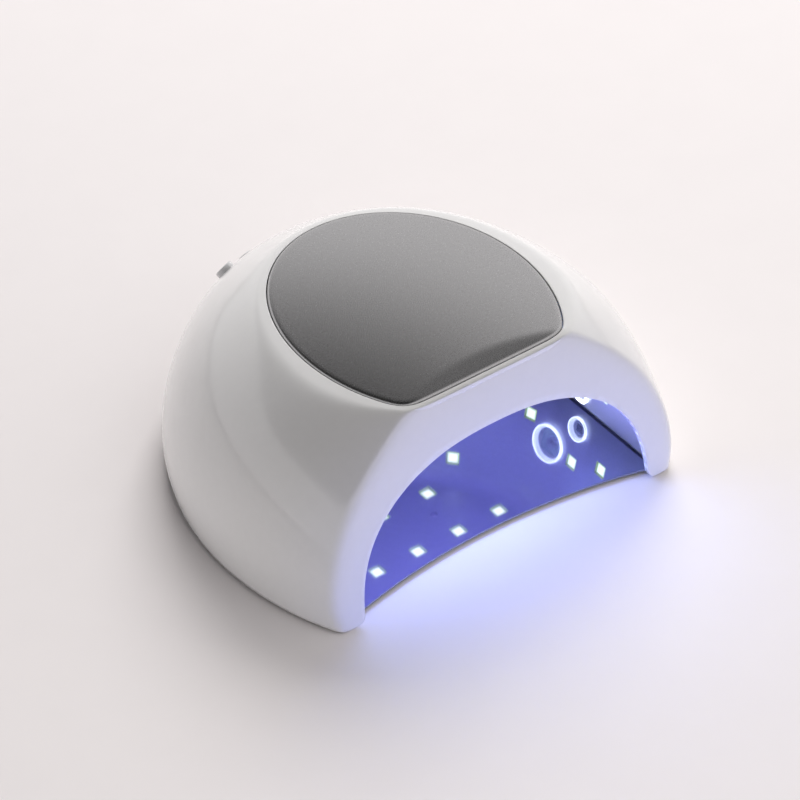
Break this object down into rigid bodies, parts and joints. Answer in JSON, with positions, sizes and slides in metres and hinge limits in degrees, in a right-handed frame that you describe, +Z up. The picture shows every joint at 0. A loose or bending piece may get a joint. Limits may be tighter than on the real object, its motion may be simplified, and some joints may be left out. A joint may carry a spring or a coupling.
{
  "type": "uv curing lamp",
  "caption": "Dome-shaped tabletop lamp that cures UV resin: arched front opening, mirrored base tray under a silvered lit chamber, grey top panel, timer keys at the back",
  "frame": {"origin": "on the table under the middle of the lamp's bounding box", "axes": "+X is the lamp's right as seen from the front, -Y points out of the front opening, +Z is up"},
  "size_m": [0.2202, 0.1932, 0.0984],
  "materials": {
    "shell_white": "gloss white moulded shell",
    "panel_grey": "satin grey with a polished edge",
    "foam_black": "closed-cell foam tape",
    "display_dark": "smoked acrylic",
    "reflector_silver": "silvered satin plastic",
    "base_white": "fine moulded texture",
    "rubber_clear": "silicone rubber",
    "steel_plated": "zinc plated",
    "light_chip": "phosphor-filled clear resin",
    "board_white": "white solder mask on aluminium",
    "board_green": "green solder mask",
    "sink_aluminium": "extruded, clear anodised",
    "lens_clear": "polished clear polycarbonate",
    "component_black": "moulded epoxy",
    "pin_nickel": "nickel-plated brass",
    "lead_grey": "flat ribbon cable",
    "tray_mirror": "polished mirror steel",
    "button_white": "gloss moulded key"
  },
  "bodies": {
    "tray": {"base_tray": "tray_mirror", "tray_pads": "rubber_clear", "tray_keepers": "steel_plated"},
    "lamp": {"outer_shell": "shell_white", "top_panel": "panel_grey", "panel_gasket": "foam_black", "display_window": "display_dark", "inner_reflector": "reflector_silver", "base_ring": "base_white", "rubber_feet": "rubber_clear", "base_screws": "steel_plated", "tray_magnets": "steel_plated", "led_chips_ceiling": "light_chip", "led_chips_left": "light_chip", "led_chips_right": "light_chip", "led_chips_rear": "light_chip", "led_board_ceiling": "board_white", "led_boards_left": "board_white", "led_boards_right": "board_white", "led_boards_rear": "board_white", "heat_sink": "sink_aluminium", "sensor_lens_large": "lens_clear", "sensor_lens_small": "lens_clear", "sensor_emitters": "component_black", "sensor_receivers": "component_black", "sensor_boards": "board_green", "key_switches": "component_black", "key_boards": "board_green", "main_board": "board_green", "board_stands": "base_white", "capacitors": "component_black", "driver_coil": "component_black", "controller_chip": "component_black", "display_module": "component_black", "display_board": "board_green", "dc_jack": "component_black", "dc_jack_pin": "pin_nickel", "ribbon_leads": "lead_grey"},
    "key_1": {"button_1": "button_white"},
    "key_2": {"button_2": "button_white"},
    "key_3": {"button_3": "button_white"},
    "key_4": {"button_4": "button_white"}
  },
  "joints": [
    {"name": "lamp_lift", "type": "slide", "parent": "tray", "child": "lamp", "axis": [0, 0, 1], "range_m": [0, 0.08]},
    {"name": "key_1_press", "type": "slide", "parent": "lamp", "child": "key_1", "axis": [0.2914, -0.7907, -0.5384], "range_m": [0, 0.0006], "stiffness_N_per_m": 600, "springref_m": -0.0005},
    {"name": "key_2_press", "type": "slide", "parent": "lamp", "child": "key_2", "axis": [0.1002, -0.8902, -0.4445], "range_m": [0, 0.0006], "stiffness_N_per_m": 600, "springref_m": -0.0005},
    {"name": "key_3_press", "type": "slide", "parent": "lamp", "child": "key_3", "axis": [-0.1002, -0.8902, -0.4445], "range_m": [0, 0.0006], "stiffness_N_per_m": 600, "springref_m": -0.0005},
    {"name": "key_4_press", "type": "slide", "parent": "lamp", "child": "key_4", "axis": [-0.2914, -0.7907, -0.5384], "range_m": [0, 0.0006], "stiffness_N_per_m": 600, "springref_m": -0.0005}
  ]
}
